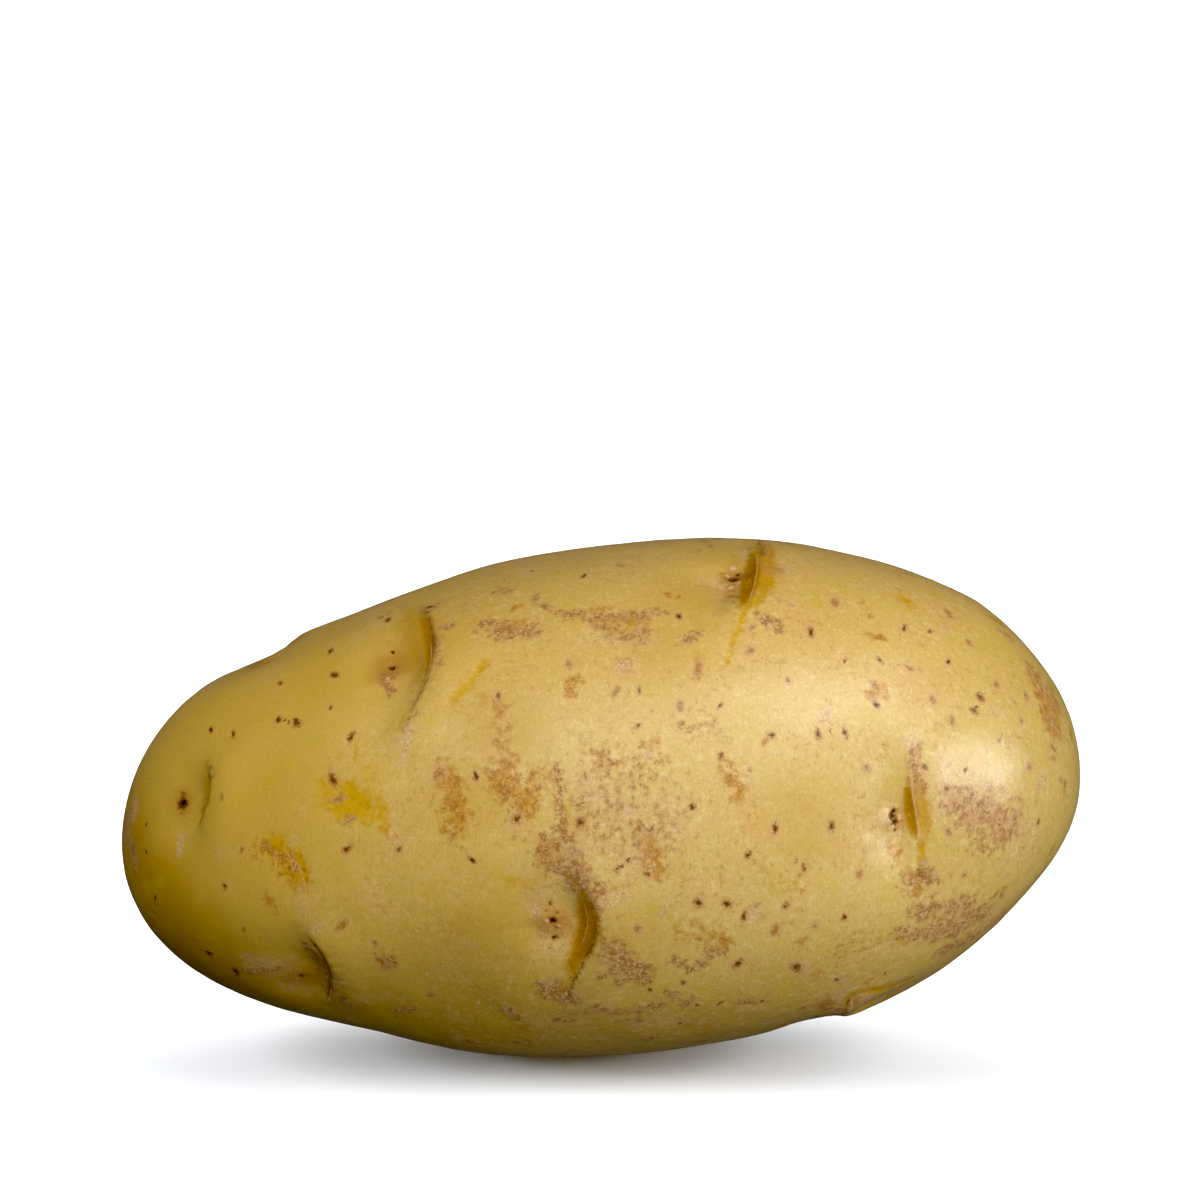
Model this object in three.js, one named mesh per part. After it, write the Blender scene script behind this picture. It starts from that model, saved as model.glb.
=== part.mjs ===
// A potato as lifted and washed: one long oval tuber lying on its belly. Millimetres, +Z up.
// It lies along X, with its rose end, where the eyes crowd together, at -X and its stem end at +X.
// The origin is under the middle of its bounding box, on the surface that it rests on.
// A place on the skin is [x, turn]: x along the tuber, and turn in degrees round it, where 0 is the
// front (-Y), 90 the top, 180 the back and -90 the belly.
import * as THREE from "three";
import { mergeVertices } from "three/addons/utils/BufferGeometryUtils.js";

// Driving dimensions
const length = 115; // rose tip to stem tip
const roseTipHeight = 25.6; // the long axis climbs a little from the rose end
const stemTipHeight = 33.6;
const pressedFlat = 0.4; // how much of the belly its own weight has flattened
const fullness = 0.015; // how much squarer than an ellipse a cross-section is

// How far the skin stands from the long axis at nine even stations from rose tip to stem tip,
// before the two ends are rounded off. Each side of the tuber has its own line.
const sides = {
  top: [34.5, 31.7, 30, 30.6, 31.5, 32.6, 33.4, 34.5, 34.2],
  belly: [30.4, 28.8, 27.5, 28.8, 29, 29.2, 30.7, 30.4, 26.5],
  front: [31, 30, 29.8, 30.8, 31.6, 32.2, 32.6, 31.6, 30],
  back: [33, 32, 32, 33, 33.2, 32.4, 31.2, 30, 30.5],
};

// Slow swells and dents of the flesh: place, radius and height
const swells = [
  { at: [46, 5], radius: 11, height: 0.9 },
  { at: [33, 0], radius: 8, height: -0.8 },
  { at: [-16, -38], radius: 10, height: -1.1 },
  { at: [-38, 86], radius: 7, height: -1.1 },
  { at: [-12, 100], radius: 9, height: 0.5 },
  { at: [10, 170], radius: 16, height: -1 },
  { at: [-22, 215], radius: 13, height: 0.8 },
  { at: [36, 205], radius: 12, height: 0.7 },
  { at: [9, -102], radius: 13, height: 0.7 },
  { at: [46, 82], radius: 6, height: 0.4 },
];

// Eyes that show from the front: the bud, then the places that its brow runs through
const frontEyes = [
  { bud: [15.5, 65], brow: [[18.4, 90], [17.3, 67], [14.8, 48]] },
  { bud: [-23.7, 50], brow: [[-21, 73], [-19.1, 50], [-22.8, 28]] },
  { bud: [-48.2, 23], brow: [[-45.4, 40], [-44.7, 25], [-46.6, 6]] },
  { bud: [33.2, 2], brow: [[34.4, 27], [35.7, 5], [36.8, -17]] },
  { bud: [-5.2, -14], brow: [[-2.8, 1], [-0.5, -14], [-4, -38]] },
  { bud: [-35, -37], brow: [[-34, -16], [-30.6, -31], [-31.6, -49]] },
  { bud: [25.5, -72], brow: [[28, -88], [28.7, -62], [34, -52]] },
];

// The eyes behind and above follow the same slow spiral; their brows stand on the stem side
const farEyes = [[-40.5, 94], [-52, 130], [-49, 205], [-36, 160], [-17, 128], [-10, 196], [-30, 250],
  [8, 238], [22, 150], [40, 112], [44, 222]];
const browReach = 3.8; // bud to the middle of its brow, along the tuber
const browSpan = 14; // one end of the brow to the other, round the tuber
const browCurl = 1.3; // how far its ends turn back towards the bud

// Relief of an eye
const hollow = { depth: 0.9, radius: 4.6 }; // the dish that a bud sits in
const bud = { height: 0.5, radius: 1.2 };
const moat = { depth: 0.35, radius: 2.4, width: 1 }; // the sunk ring round a bud
const brow = { height: 0.8, steep: 1.1, gentle: 3.4 }; // its fall towards the bud, and away from it
const cleft = { depth: 0.7, reach: 1.9 }; // the groove under the brow, on the bud's side

// The scar where the underground stem broke off
const stemScar = { at: [57, 160], depth: 1.3, radius: 3.4, stubHeight: 0.9, stubRadius: 0.9 };

// Skin mesh
const rowsPerEdge = 19; // cuts in each edge of the first icosahedron
const spread = 0.12; // draws the rows together over the long flanks, so that triangles are even
const gather = { pull: 0.55, radius: 0.3 }; // and round each eye, as a share of the unit sphere

const half = length / 2;

// A smooth line through the values at even stations, read at u from -1 to 1
function stationLine(values) {
  const line = new THREE.SplineCurve(values.map((v, i) => new THREE.Vector2(i, v)));
  return (u) => line.getPoint((u + 1) / 2).y;
}

const lines = Object.fromEntries(
  Object.entries(sides).map(([side, values]) => [side, stationLine(values)]),
);

// The unit direction of a place on the skin
function direction([x, turn]) {
  const u = x / half;
  const across = Math.sqrt(Math.max(0, 1 - u * u));
  const angle = THREE.MathUtils.degToRad(turn);
  return new THREE.Vector3(u, -Math.cos(angle) * across, Math.sin(angle) * across);
}

// The smooth body without eyes, as a point for each unit direction
function bodyPoint(dir) {
  const across = Math.hypot(dir.y, dir.z) || 1;
  const back = dir.y / across;
  const up = dir.z / across;
  const deep = (lines.back(dir.x) + lines.front(dir.x)) / 2
    + (back * (lines.back(dir.x) - lines.front(dir.x))) / 2;
  const tall = (lines.top(dir.x) + lines.belly(dir.x)) / 2
    + (up * (lines.top(dir.x) - lines.belly(dir.x))) / 2;
  const squarer = 1 + fullness * (2 * back * up) ** 2;
  const axisHeight = THREE.MathUtils.lerp(roseTipHeight, stemTipHeight, (dir.x + 1) / 2);
  return new THREE.Vector3(
    half * dir.x,
    deep * dir.y * squarer,
    axisHeight + tall * dir.z * squarer,
  );
}

// The way out of the skin there
function outward(dir) {
  return new THREE.Vector3(
    dir.x / half,
    (2 * dir.y) / (lines.back(dir.x) + lines.front(dir.x)),
    (2 * dir.z) / (lines.top(dir.x) + lines.belly(dir.x)),
  ).normalize();
}

const onBody = (place) => bodyPoint(direction(place));
const bump = (distance, width) => Math.exp(-((distance / width) ** 2));

// A brow in the usual place, for an eye of which only the bud is given
function browBehind([x, turn]) {
  const girth = onBody([x, turn]).distanceTo(onBody([x, turn + 180])) / 2;
  const swing = THREE.MathUtils.radToDeg(browSpan / 2 / girth);
  const endX = x + browReach - browCurl;
  return [[endX, turn + swing], [x + browReach, turn], [endX, turn - swing]];
}

const browSteps = 32;
const eyes = [...frontEyes, ...farEyes.map((at) => ({ bud: at, brow: browBehind(at) }))]
  .map((eye) => ({
    bud: onBody(eye.bud),
    brow: new THREE.CatmullRomCurve3(eye.brow.map(onBody)).getPoints(browSteps),
    centre: direction(eye.bud).lerp(direction(eye.brow[1]), 0.5).normalize(),
  }));

// Height of a brow and of the cleft under it, over the smooth body
function browRelief(point, eye) {
  const distances = eye.brow.map((onBrow) => onBrow.distanceTo(point));
  const away = Math.min(...distances);
  const step = distances.indexOf(away);
  const fade = Math.sqrt(Math.sin((Math.PI * step) / browSteps));
  const toBud = eye.bud.clone().sub(eye.brow[step]);
  if (point.clone().sub(eye.brow[step]).dot(toBud) < 0) return fade * brow.height * bump(away, brow.gentle);
  const deep = away / cleft.reach; // the cleft is deepest where this is 1
  return fade * (brow.height * bump(away, brow.steep) - cleft.depth * (deep * Math.exp(1 - deep)) ** 2);
}

function eyeRelief(point, eye) {
  const away = point.distanceTo(eye.bud);
  return -hollow.depth * bump(away, hollow.radius)
    + bud.height * bump(away, bud.radius)
    - moat.depth * bump(away - moat.radius, moat.width)
    + browRelief(point, eye);
}

const scarPoint = onBody(stemScar.at);
function relief(point) {
  let height = 0;
  for (const swell of swells) {
    height += swell.height * bump(point.distanceTo(onBody(swell.at)), swell.radius);
  }
  for (const eye of eyes) height += eyeRelief(point, eye);
  const fromScar = point.distanceTo(scarPoint);
  height -= stemScar.depth * bump(fromScar, stemScar.radius);
  height += stemScar.stubHeight * bump(fromScar, stemScar.stubRadius);
  return height;
}

// Slides the sphere's vertices towards the flanks and the eyes before they go to the body
function arrange(dir) {
  const polar = Math.acos(THREE.MathUtils.clamp(dir.x, -1, 1));
  const drawn = polar + spread * Math.sin(2 * polar);
  const across = Math.hypot(dir.y, dir.z) || 1;
  const spun = new THREE.Vector3(
    Math.cos(drawn),
    (dir.y / across) * Math.sin(drawn),
    (dir.z / across) * Math.sin(drawn),
  );
  const moved = spun.clone();
  for (const eye of eyes) {
    const share = Math.min(1, spun.distanceTo(eye.centre) / gather.radius);
    moved.addScaledVector(eye.centre.clone().sub(spun), gather.pull * (1 - share ** 2) ** 2);
  }
  return moved.normalize();
}

function potatoGeometry() {
  const sphere = new THREE.IcosahedronGeometry(1, rowsPerEdge);
  sphere.deleteAttribute("normal");
  sphere.deleteAttribute("uv");
  const geometry = mergeVertices(sphere);
  const position = geometry.getAttribute("position");
  for (let i = 0; i < position.count; i += 1) {
    const dir = arrange(new THREE.Vector3().fromBufferAttribute(position, i));
    const point = bodyPoint(dir);
    point.addScaledVector(outward(dir), relief(point));
    position.setXYZ(i, point.x, point.y, point.z);
  }
  geometry.computeBoundingBox();
  const { min, max } = geometry.boundingBox;
  geometry.translate(-(min.x + max.x) / 2, -(min.y + max.y) / 2, -min.z - pressedFlat);
  for (let i = 0; i < position.count; i += 1) position.setZ(i, Math.max(0, position.getZ(i)));
  geometry.computeVertexNormals();
  return geometry;
}

const skin = new THREE.MeshStandardMaterial({ color: 0xcfae5c, roughness: 0.55, metalness: 0 });
const potato = new THREE.Mesh(potatoGeometry(), skin);
potato.name = "potato";

const tuber = new THREE.Group();
tuber.add(potato);

export default tuber;
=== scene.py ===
import math
import random
import bpy
import bmesh
import numpy as np
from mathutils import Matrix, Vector, noise
from mathutils.bvhtree import BVHTree


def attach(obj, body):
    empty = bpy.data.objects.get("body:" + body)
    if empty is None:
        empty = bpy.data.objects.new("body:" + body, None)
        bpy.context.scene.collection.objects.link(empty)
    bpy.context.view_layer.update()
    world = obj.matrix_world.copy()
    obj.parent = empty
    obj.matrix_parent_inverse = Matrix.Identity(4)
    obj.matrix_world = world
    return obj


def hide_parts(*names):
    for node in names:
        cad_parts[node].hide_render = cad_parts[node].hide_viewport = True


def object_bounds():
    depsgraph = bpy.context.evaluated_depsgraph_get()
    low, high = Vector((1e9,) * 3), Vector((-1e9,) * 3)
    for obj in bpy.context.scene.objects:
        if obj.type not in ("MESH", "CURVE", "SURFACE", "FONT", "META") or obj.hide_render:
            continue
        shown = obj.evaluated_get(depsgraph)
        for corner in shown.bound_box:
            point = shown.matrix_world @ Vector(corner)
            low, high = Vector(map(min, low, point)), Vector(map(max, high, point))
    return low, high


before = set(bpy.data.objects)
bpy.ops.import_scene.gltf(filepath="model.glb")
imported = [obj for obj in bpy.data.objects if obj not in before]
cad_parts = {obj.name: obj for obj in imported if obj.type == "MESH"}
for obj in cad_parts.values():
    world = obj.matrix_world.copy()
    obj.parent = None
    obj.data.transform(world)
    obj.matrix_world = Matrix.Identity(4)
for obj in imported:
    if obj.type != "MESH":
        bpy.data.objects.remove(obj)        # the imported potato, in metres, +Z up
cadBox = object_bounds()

mm = 0.001

# The camera stands in front of the potato and looks a little down on it
camera = {
    "lens": 100,
    "sensor": 36,
    "elevation": 10,
    "distance": 400 * mm,
    "aim": (0, 0, 31 * mm),
    "photoSide": 1200,       # the photograph is square, and every pixel below is one of its own
    "aimPixel": (600, 792.5),  # where the aim point shows in it
}


def addCamera():
    data = bpy.data.cameras.new("camera")
    data.lens = camera["lens"]
    data.sensor_width = camera["sensor"]
    data.shift_y = (camera["aimPixel"][1] - camera["photoSide"] / 2) / camera["photoSide"]
    made = bpy.data.objects.new("camera", data)
    bpy.context.scene.collection.objects.link(made)
    tilt = math.radians(camera["elevation"])
    back = Vector((0, -math.cos(tilt), math.sin(tilt)))
    made.location = Vector(camera["aim"]) + back * camera["distance"]
    made.rotation_euler = (-back).to_track_quat("-Z", "Y").to_euler()
    bpy.context.scene.camera = made
    bpy.context.view_layer.update()
    return made


theCamera = addCamera()
print("camera placed")


def pixelRay(pixel):
    # where the line of sight through a pixel of the photograph starts, and its direction
    reach = camera["lens"] / camera["sensor"] * camera["photoSide"]
    acrossFrame = (pixel[0] - camera["aimPixel"][0]) / reach
    downFrame = (pixel[1] - camera["aimPixel"][1]) / reach
    sight = theCamera.matrix_world.to_3x3() @ Vector((acrossFrame, -downFrame, -1))
    return theCamera.matrix_world.translation, sight.normalized()


def linear(hexColour):
    # sRGB hex to the linear numbers that a shader takes
    parts = [int(hexColour[i:i + 2], 16) / 255 for i in (1, 3, 5)]
    return [c / 12.92 if c <= 0.04045 else ((c + 0.055) / 1.055) ** 2.4 for c in parts] + [1]


# The skin starts as the solid's own faces, made fine enough for the relief of the eyes
skinMesh = {
    "mergeWithin": 0.002 * mm,
    "ease": 0.5,          # takes the facets out before the faces are split
    "easePasses": 1,
    "splits": 2,
}


def fineSkin():
    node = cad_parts["potato"]
    rough = bpy.data.objects.new("skinDraft", node.data.copy())
    bpy.context.scene.collection.objects.link(rough)
    shell = bmesh.new()
    shell.from_mesh(rough.data)
    bmesh.ops.remove_doubles(shell, verts=shell.verts, dist=skinMesh["mergeWithin"])
    shell.to_mesh(rough.data)
    shell.free()
    ease = rough.modifiers.new("ease", "SMOOTH")
    ease.factor = skinMesh["ease"]
    ease.iterations = skinMesh["easePasses"]
    split = rough.modifiers.new("split", "SUBSURF")
    split.levels = split.render_levels = skinMesh["splits"]
    ready = rough.evaluated_get(bpy.context.evaluated_depsgraph_get())
    mesh = bpy.data.meshes.new_from_object(ready)
    bpy.data.objects.remove(rough)
    mesh.name = "potatoSkin"
    mesh.materials.clear()
    mesh.shade_smooth()
    return mesh


skin = fineSkin()
count = len(skin.vertices)
spots = np.empty(count * 3)
skin.vertices.foreach_get("co", spots)
spots = spots.reshape(-1, 3) / mm  # every place on the skin below is in millimetres
outward = np.empty(count * 3)
skin.vertices.foreach_get("normal", outward)
outward = outward.reshape(-1, 3)
skinTree = BVHTree.FromPolygons(
    [Vector(p) for p in spots], [tuple(face.vertices) for face in skin.polygons]
)
print("skin split into", len(skin.polygons), "faces")


def seenPlace(pixel):
    # the place on the skin that shows at this pixel, and the way out of the skin there
    start, sight = pixelRay(pixel)
    place, facing, _, _ = skinTree.ray_cast(start / mm, sight)
    if place is None:
        place, facing, _, _ = skinTree.find_nearest(start / mm + sight * camera["distance"] / mm)
    return np.array(place), np.array(facing)


# The tuber's long axis climbs from the rose end to the stem end, as in the solid
axis = {"half": 57.5, "roseHeight": 25.2, "stemHeight": 33.2, "deep": 32.2, "tall": 31}


def turnedPlace(x, turn):
    # a place x along the tuber and turned round it: 0 is the front, 90 the top, 180 the back
    height = axis["roseHeight"] + (axis["stemHeight"] - axis["roseHeight"]) * (x / axis["half"] + 1) / 2
    angle = math.radians(turn)
    way = Vector((0, -math.cos(angle) * axis["deep"], math.sin(angle) * axis["tall"])).normalized()
    start = Vector((x, 0, height)) + way * 2 * axis["half"]
    place, facing, _, _ = skinTree.ray_cast(start, -way)
    return np.array(place), np.array(facing)


def smoothLine(points, step=0.4):
    # a curve through the points, with a point about every step millimetres
    points = np.array(points)
    if len(points) < 2:
        return points
    ends = np.vstack([2 * points[0] - points[1], points, 2 * points[-1] - points[-2]])
    line = []
    for a, b, c, d in zip(ends, ends[1:], ends[2:], ends[3:]):
        for t in np.arange(0, 1, step / max(step, np.linalg.norm(c - b))):
            bend = (2 * a - 5 * b + 4 * c - d) * t ** 2 + (3 * b - a - 3 * c + d) * t ** 3
            line.append(b + ((c - a) * t + bend) / 2)
    return np.array(line + [points[-1]])


def nearLine(line, reach, places=spots):
    # for the vertices within reach of a line: which they are, how far, the nearest place and how far along
    box = (places > line.min(0) - reach).all(1) & (places < line.max(0) + reach).all(1)
    chosen = np.nonzero(box)[0]
    if len(line) < 2:
        line = np.vstack([line, line + 1e-6])
    span = line[1:] - line[:-1]
    share = ((places[chosen, None] - line[None, :-1]) * span).sum(2) / (span ** 2).sum(1)
    share = share.clip(0, 1)
    foot = line[None, :-1] + share[..., None] * span
    away = np.linalg.norm(places[chosen, None] - foot, axis=2)
    best = away.argmin(1)
    rows = np.arange(len(chosen))
    away, foot = away[rows, best], foot[rows, best]
    along = (best + share[rows, best]) / len(span)
    close = away < reach
    return chosen[close], away[close], foot[close], along[close]


def bump(distance, width):
    return np.exp(-(distance / width) ** 2)


relief = np.zeros(count)  # how far each vertex of the skin moves out
fieldNames = ("clear", "amber", "russet", "scurf", "tawny", "hollow", "pit", "crumb", "poreNear")
fields = {name: np.zeros(count) for name in fieldNames}
coordinates = {name: np.zeros((count, 3)) for name in ("fibre", "crack", "lens", "pore")}
coordinates["fibre"][:, 0] = 9
coordinates["crack"][:, 0] = 9
coordinates["pore"][:, :2] = 9

# Each eye: its bud, the radius of the brown dish round it, which is partly painted shade in the hollow, and the line
# of its brow from the top down, in pixels. Along the brow, from one share of its length to another and so many
# millimetres off it towards the bud, lie lenses of thin skin, deep brown or gold and so wide to each side, the deep
# one darkened by its tone, partly painted shade in the crease, a pale fibre and a dark crack. Pits and crumbs are
# small holes and crusts by the bud, with radius and depth; a pit's black is painted shade in the hole.
seenEyes = {
    "crown": {
        "bud": (735, 578), "hollow": 2.0,
        "brow": [(752, 540), (757, 555), (757, 568), (755, 582), (750, 598), (743, 613)],
        "deep": {"from": 0.25, "to": 0.98, "half": 1.0, "off": 0.65, "tone": 0.6},
        "gold": {"from": 0.0, "to": 1.0, "half": 1.5, "off": -1.1},
        "fibre": {"from": 0.3, "to": 0.88, "off": 0, "wide": 0.4},
        "crack": {"from": 0.0, "to": 0.4, "off": -0.6},
        "pits": [((735, 579), 0.6, 0.9), ((738, 574), 0.3, 0.6)],
        "crumbs": [((733, 569), 0.42, 0.5), ((731, 588), 0.42, 0.4), ((739, 583), 0.3, 0.4), ((728, 577), 0.24, 0.3)],
    },
    "shoulder": {
        "bud": (392, 667), "hollow": 3.4,
        "brow": [(420, 600), (428, 620), (432, 640), (432, 660), (425, 683), (415, 702), (402, 728)],
        "deep": {"from": 0.1, "to": 0.8, "half": 0.6, "off": 0.45, "tone": 0.2},
        "gold": {"from": 0.0, "to": 0.8, "half": 2.8, "off": 1.6},
        "fibre": {"from": 0.45, "to": 0.9, "off": 0.25, "wide": 0.55},
        "crack": {"from": 0.05, "to": 0.95, "off": -0.1},
        "pits": [((391.6, 667), 0.36, 0.9), ((392, 652), 0.24, 0.6), ((391, 674), 0.28, 0.5),
                 ((400, 687), 0.14, 0.4), ((390, 690), 0.3, 0.3), ((389, 696), 0.2, 0.5)],
        "crumbs": [((388, 661), 0.18, 0.4), ((389, 678), 0.28, 0.3), ((393, 659), 0.14, 0.3)],
    },
    "rose": {
        "bud": (182, 802), "hollow": 2.2,
        "brow": [(207, 762), (210, 778), (209, 795), (204, 812), (198, 828)],
        "deep": {"from": 0.0, "to": 1.0, "half": 0.5, "off": 0.25, "tone": 0.6},
        "gold": {"from": 0.0, "to": 0.9, "half": 1.0, "off": 1.1},
        "fibre": {"from": 0.1, "to": 0.2, "off": 0, "wide": 0.5},
        "crack": {"from": 0.3, "to": 1.0, "off": 0},
        "pits": [((182, 803), 0.62, 0.7), ((183, 794), 0.42, 0.3), ((181, 812), 0.4, 0.3), ((183, 779), 0.14, 0.3)],
        "crumbs": [((187, 798), 0.16, 0.2)],
    },
    "stem": {
        "bud": (895, 817), "hollow": 1.8,
        "brow": [(908, 736), (910, 758), (911, 780), (914, 803), (918, 828), (921, 845), (922, 862), (919, 882)],
        "deep": {"from": 0.28, "to": 0.74, "half": 0.64, "off": 0.5, "tone": 0.25},
        "gold": {"from": 0.25, "to": 0.8, "half": 0.9, "off": -0.8},
        "fibre": {"from": 0.2, "to": 0.75, "off": -0.05, "wide": 0.7},
        "crack": {"from": 0.9, "to": 1.0, "off": 0.1},
        "pits": [((892.5, 811), 0.3, 0.6), ((891, 816), 0.36, 0.9), ((893, 822), 0.34, 0.8), ((894, 829), 0.2, 0.4)],
        "crumbs": [((898, 817), 0.34, 0.4), ((895, 806), 0.24, 0.4), ((899, 832), 0.4, 0.2)],
    },
    "belly": {
        "bud": (553, 921), "hollow": 2.6,
        "brow": [(576, 876), (588, 893), (594, 910), (596, 927), (592, 945), (584, 960), (576, 978), (568, 996)],
        "deep": {"from": 0.1, "to": 0.86, "half": 1.35, "off": 1.0, "tone": 0.35, "skew": 0.8},
        "gold": {"from": 0.5, "to": 1.0, "half": 0.5, "off": 0.5},
        "fibre": {"from": 0.16, "to": 0.6, "off": 1.15, "wide": 0.3},
        "crack": {"from": 0.3, "to": 1.0, "off": 0.05},
        "pits": [((553, 921), 0.44, 0.6), ((550, 903), 0.26, 0.4), ((555, 938), 0.36, 0.5), ((557, 913), 0.2, 0.4),
                 ((547, 912), 0.2, 0.4), ((549, 947), 0.2, 0.4), ((556, 928), 0.2, 0.4)],
        "crumbs": [((556, 908), 0.2, 0.3), ((547, 921), 0.24, 0.3), ((559, 926), 0.24, 0.3), ((550, 930), 0.2, 0.3)],
    },
    "low": {
        "bud": (301, 976), "hollow": 3.2,
        "brow": [(306, 932), (314, 943), (323, 955), (330, 970), (331, 986), (328, 1001)],
        "deep": {"from": 0.0, "to": 1.0, "half": 0.34, "off": 0.2, "tone": 0.9},
        "gold": {"from": 0.1, "to": 0.9, "half": 1.2, "off": 1.5},
        "fibre": {"from": 0.75, "to": 1.0, "off": -0.1, "wide": 0.6},
        "crack": {"from": 0.0, "to": 1.0, "off": 0.1},
        "pits": [((301, 976), 0.34, 0.4), ((296, 962), 0.14, 0.3)],
        "crumbs": [((331, 981), 0.14, 0.3), ((313, 956), 0.14, 0.3)],
    },
    "foot": {
        "bud": (826, 1006), "hollow": 1.6, "flatness": 0.3,
        "brow": [(842, 1018), (846, 1006), (853, 995), (868, 990), (890, 986), (912, 978)],
        "deep": {"from": 0.0, "to": 0.35, "half": 0.6, "off": 0.2, "tone": 0.6},
        "gold": {"from": 0.3, "to": 1.0, "half": 0.75, "off": -0.1},
        "fibre": {"from": 0.3, "to": 0.6, "off": -0.7, "wide": 0.8},
        "crack": {"from": 0.0, "to": 0.5, "off": 0},
        "pits": [((849, 1002), 0.2, 0.4), ((853, 997), 0.18, 0.4)],
        "crumbs": [((842, 1014), 0.3, 0.2)],
    },
}
# Eyes that the photograph doesn't show, where the solid has them: place along the tuber and turn round it
hiddenEyes = [(-40.5, 94), (-52, 130), (-49, 205), (-36, 160), (-17, 128), (-10, 196), (-30, 250),
              (8, 238), (22, 150), (40, 112), (44, 222)]
hiddenBrow = {"reach": 3.8, "span": 14, "curl": 1.3}

eyeShape = {
    "browReach": 5,
    "lensDip": 0.06,                              # the thin skin lies a little low
    "lip": {"height": 0.14, "width": 0.45},        # and the brow's edge stands up beside it
    "crease": {"depth": 0.1, "width": 0.4},
    "fibre": {"height": 0.05, "width": 0.22},
    "crack": {"depth": 0.06, "width": 0.25},
}


def partWay(along, part):
    # the share of the way through one part of the brow
    return (along - part["from"]) / (part["to"] - part["from"])


def dressEye(bud, eye, browPlaces, pits, crumbs):
    line = smoothLine(browPlaces)
    tall = eye.get("flatness", 1)  # the share of the usual relief
    near, away, foot, along = nearLine(line, eyeShape["browReach"])
    toBud = ((spots[near] - foot) * (bud - foot)).sum(1)
    across = np.where(toBud > 0, away, -away)
    closeness = 1 - away / eyeShape["browReach"]
    ends = np.sin(np.pi * along) ** 0.5
    for order, kind in enumerate(("deep", "gold")):
        part = eye[kind]
        profile = np.sin(np.pi * partWay(along, part).clip(0, 1) ** part.get("skew", 1)) ** 0.8
        share = (1.15 * profile - np.abs(across - part["off"]) / part["half"]).clip(-1, 1)
        kept = coordinates["lens"][near, order]
        coordinates["lens"][near, order] = np.maximum(kept, share + 1)
        if kind == "deep":
            coordinates["lens"][near, 2] = np.where(share > -1, part["tone"], coordinates["lens"][near, 2])
            relief[near] -= eyeShape["lensDip"] * profile * bump(across - part["off"], part["half"])
    nearer = closeness > coordinates["crack"][near, 2]
    for kind in ("fibre", "crack"):
        part = eye[kind]
        inside = partWay(along, part)
        line3 = np.stack([(across - part["off"]) / part.get("wide", 1), inside, closeness], 1)
        coordinates[kind][near[nearer]] = line3[nearer]
        shape = eyeShape[kind]
        fade = np.sin(np.pi * inside.clip(0, 1)) ** 0.5
        size = shape.get("height", 0) - shape.get("depth", 0)
        relief[near] += tall * size * fade * bump(across - part["off"], shape["width"])
    lip, crease = eyeShape["lip"], eyeShape["crease"]
    relief[near] += tall * lip["height"] * ends * bump(across + lip["width"], lip["width"])
    relief[near] -= tall * crease["depth"] * ends * bump(across - crease["width"], crease["width"])
    near, away, foot, _ = nearLine(np.array([bud]), 3 * eye["hollow"])
    fields["hollow"][near] = np.maximum(fields["hollow"][near], bump(away, eye["hollow"]))
    for name, marks, side in (("pit", pits, -1), ("crumb", crumbs, 1)):
        for place, radius, size in marks:
            near, away, _, _ = nearLine(np.array([place]), 4 * radius)
            relief[near] += side * size * (0.6 if name == "pit" else 0.3) * bump(away, radius)
            depth = min(1, size / 0.7) if name == "pit" else 1  # the painted shade in a pit is black only where the pit is deep
            fields[name][near] = np.maximum(fields[name][near], depth * bump(away, radius))


for eye in seenEyes.values():
    marks = [[(seenPlace(pixel)[0], radius, size) for pixel, radius, size in eye[kind]] for kind in ("pits", "crumbs")]
    dressEye(seenPlace(eye["bud"])[0], eye, [seenPlace(pixel)[0] for pixel in eye["brow"]], *marks)

chance = random.Random(11)
for x, turn in hiddenEyes:
    bud = turnedPlace(x, turn)[0]
    swing = math.degrees(hiddenBrow["span"] / 2 / axis["tall"])
    endX = x + hiddenBrow["reach"] - hiddenBrow["curl"]
    places = [(endX, turn + swing), (x + hiddenBrow["reach"], turn), (endX, turn - swing)]
    begin, end = chance.uniform(0, 0.35), chance.uniform(0.65, 1)
    eye = {
        "hollow": chance.uniform(1.8, 3),
        "deep": {"from": begin, "to": end, "half": chance.uniform(0.3, 0.9), "off": 0.6,
                 "tone": chance.uniform(0, 0.6)},
        "gold": {"from": begin / 2, "to": (1 + end) / 2, "half": chance.uniform(0.5, 1.3), "off": chance.choice((-0.8, 1.4))},
        "fibre": {"from": begin, "to": end, "off": chance.uniform(-0.1, 0.3), "wide": chance.uniform(0.4, 1.3)},
        "crack": {"from": end - 0.3, "to": 1, "off": -0.1},
    }
    marks = []
    for _ in range(7):
        spot = turnedPlace(x + chance.gauss(0, 0.5), turn + chance.gauss(0, 2))[0]
        marks.append((spot, chance.uniform(0.14, 0.32), chance.uniform(0.3, 0.7)))
    pits = [(bud, 0.38, 0.8)] + marks[:3]
    dressEye(bud, eye, [turnedPlace(*place)[0] for place in places], pits, marks[3:])
print("eyes dressed:", len(seenEyes) + len(hiddenEyes))

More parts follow.
